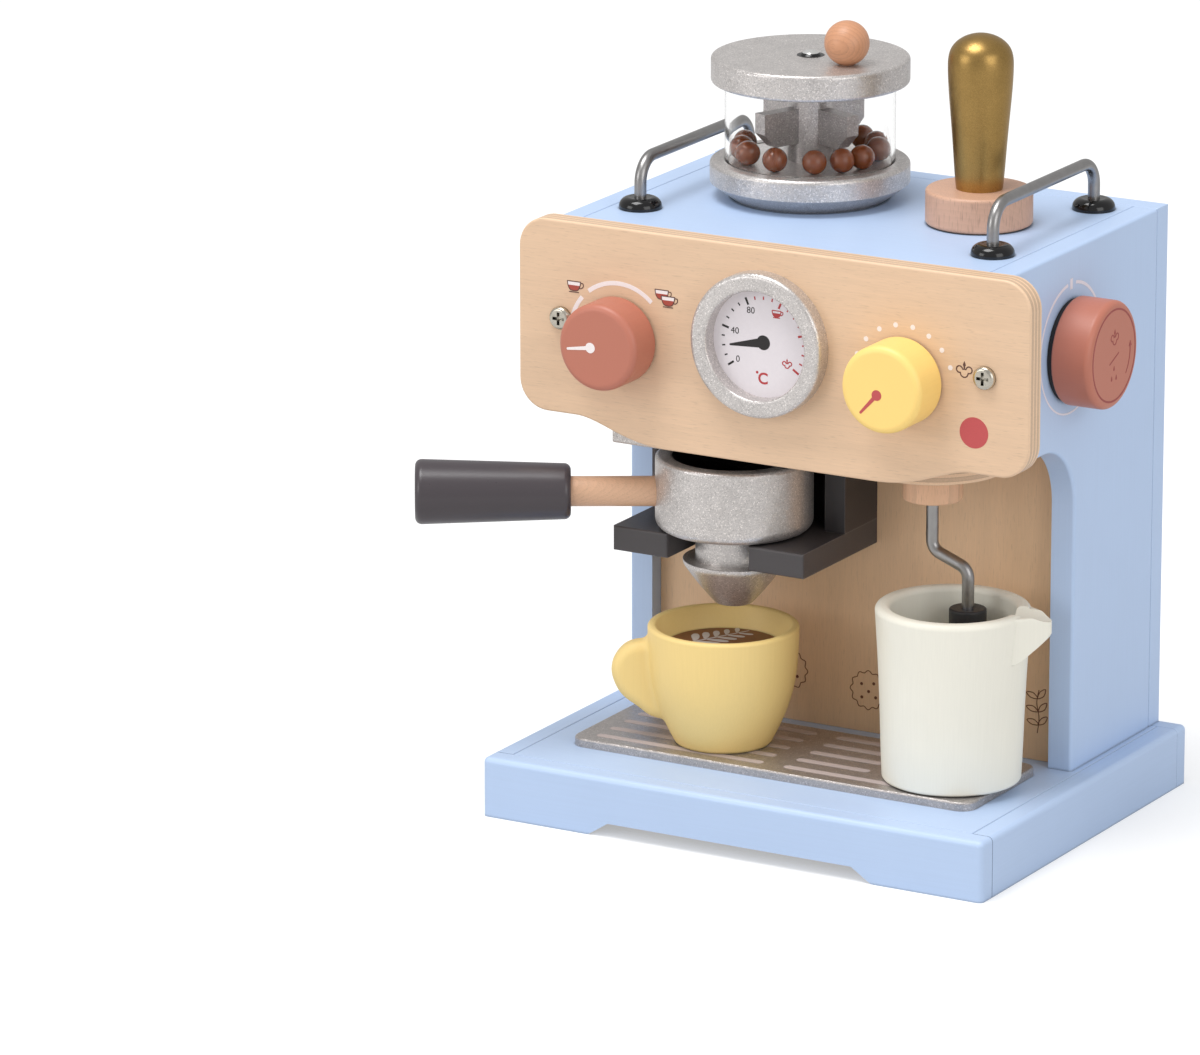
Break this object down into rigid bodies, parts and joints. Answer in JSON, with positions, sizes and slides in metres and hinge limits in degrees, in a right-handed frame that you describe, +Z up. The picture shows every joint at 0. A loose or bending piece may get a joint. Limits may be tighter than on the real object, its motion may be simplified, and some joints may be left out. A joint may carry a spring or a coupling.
{
  "type": "toy coffee maker",
  "caption": "Wooden play espresso machine with turning knobs, grinder lid, portafilter and steam wand, and a cup and jug on its drip tray.",
  "frame": {"origin": "on the floor, in the middle of the underside of the base's rear rail", "axes": "+Z up, -Y to the front where the control panel is, +X to the machine's right as its user sees it"},
  "size_m": [0.2996, 0.2091, 0.352],
  "materials": {
    "blue_paint": "light blue satin paint on wood",
    "birch_plywood": "clear matt lacquer",
    "alcove_plywood": "clear matt lacquer",
    "beech": "clear matt lacquer",
    "silver_paint": "silver sparkle paint on wood",
    "gold_paint": "gold paint on wood",
    "terracotta_paint": "satin paint on wood",
    "knob_yellow_paint": "satin paint on wood",
    "cup_yellow_paint": "satin paint on wood",
    "white_paint": "satin paint on wood",
    "dark_grey_paint": "satin paint on wood",
    "black_paint": "satin paint on wood",
    "bead_brown": "stained and lacquered",
    "coffee_print": "satin print on wood",
    "steel_rod": "zinc plated",
    "steel_screw": "zinc plated",
    "chrome_rivet": "polished",
    "clear_acrylic": "clear",
    "black_gloss": "glossy",
    "black_matt": "matt",
    "dial_card": "printed"
  },
  "bodies": {
    "machine": {"base_front_rail": "blue_paint", "base_rear_rail": "blue_paint", "base_left_rail": "blue_paint", "base_right_rail": "blue_paint", "base_panel": "blue_paint", "left_side_panel": "blue_paint", "right_side_panel": "blue_paint", "back_panel": "blue_paint", "top_panel": "blue_paint", "control_panel": "birch_plywood", "wand_flange": "birch_plywood", "housing_floor": "birch_plywood", "alcove_wall": "alcove_plywood", "wand_collar": "beech", "gauge_ring": "silver_paint", "brew_plate": "silver_paint", "drip_tray": "silver_paint", "hopper_base": "silver_paint", "brew_block": "black_paint", "brew_fork": "black_paint", "coffee_beads": "bead_brown", "left_rail": "steel_rod", "right_rail": "steel_rod", "base_screws": "steel_screw", "panel_screws": "steel_screw", "brew_screws": "steel_screw", "hopper_cylinder": "clear_acrylic", "left_rail_front_foot": "black_gloss", "left_rail_rear_foot": "black_gloss", "right_rail_front_foot": "black_gloss", "right_rail_rear_foot": "black_gloss", "side_knob_spacer": "black_matt", "gauge_dial": "dial_card"},
    "brew_knob": {"brew_knob": "terracotta_paint", "brew_knob_spindle": "beech"},
    "steam_knob": {"steam_knob": "knob_yellow_paint", "steam_knob_spindle": "beech"},
    "side_knob": {"side_knob": "terracotta_paint", "side_knob_spindle": "beech"},
    "grinder": {"grinder_lid": "silver_paint", "lid_ball": "beech", "lid_rivet": "chrome_rivet", "rotor_post": "silver_paint", "rotor_paddle_1": "silver_paint", "rotor_paddle_2": "silver_paint", "rotor_paddle_3": "silver_paint", "rotor_paddle_4": "silver_paint"},
    "spout": {"portafilter_spout": "silver_paint"},
    "portafilter": {"portafilter_cup": "silver_paint", "portafilter_dowel": "beech", "portafilter_handle": "dark_grey_paint"},
    "steam_wand": {"wand_rod": "steel_rod", "wand_tip": "black_matt", "wand_retainer": "black_matt"},
    "tamper": {"tamper_disc": "beech", "tamper_handle": "gold_paint"},
    "cup": {"cup_body": "cup_yellow_paint", "cup_coffee": "coffee_print"},
    "jug": {"milk_jug": "white_paint"}
  },
  "joints": [
    {"name": "brew_knob_turn", "type": "hinge", "parent": "machine", "child": "brew_knob", "pos_m": [-0.076, -0.1587, 0.2175], "axis": [0, 1, 0], "continuous": true},
    {"name": "steam_knob_turn", "type": "hinge", "parent": "machine", "child": "steam_knob", "pos_m": [0.0654, -0.1587, 0.2175], "axis": [0, 1, 0], "continuous": true},
    {"name": "side_knob_turn", "type": "hinge", "parent": "machine", "child": "side_knob", "pos_m": [0.112, -0.0914, 0.2217], "axis": [-1, 0, 0], "continuous": true},
    {"name": "grinder_turn", "type": "hinge", "parent": "machine", "child": "grinder", "pos_m": [-0.0333, -0.062, 0.3], "axis": [0, 0, 1], "continuous": true},
    {"name": "portafilter_slide", "type": "slide", "parent": "machine", "child": "spout", "axis": [0, -1, 0], "range_m": [0, 0.11]},
    {"name": "portafilter_turn", "type": "hinge", "parent": "spout", "child": "portafilter", "pos_m": [-0.03825, -0.1213, 0.132], "axis": [0, 0, 1], "range_deg": [-30, 75]},
    {"name": "steam_wand_swivel", "type": "hinge", "parent": "machine", "child": "steam_wand", "pos_m": [0.0575, -0.115, 0.16], "axis": [0, 0, 1], "range_deg": [-86, 12]},
    {"name": "tamper_lift", "type": "slide", "parent": "machine", "child": "tamper", "axis": [0, 0, 1], "range_m": [0, 0.08]},
    {"name": "cup_slide", "type": "slide", "parent": "machine", "child": "cup", "axis": [0, -1, 0], "range_m": [0, 0.12]},
    {"name": "jug_lift", "type": "slide", "parent": "machine", "child": "jug", "axis": [0, 0, 1], "range_m": [0, 0.041]}
  ]
}
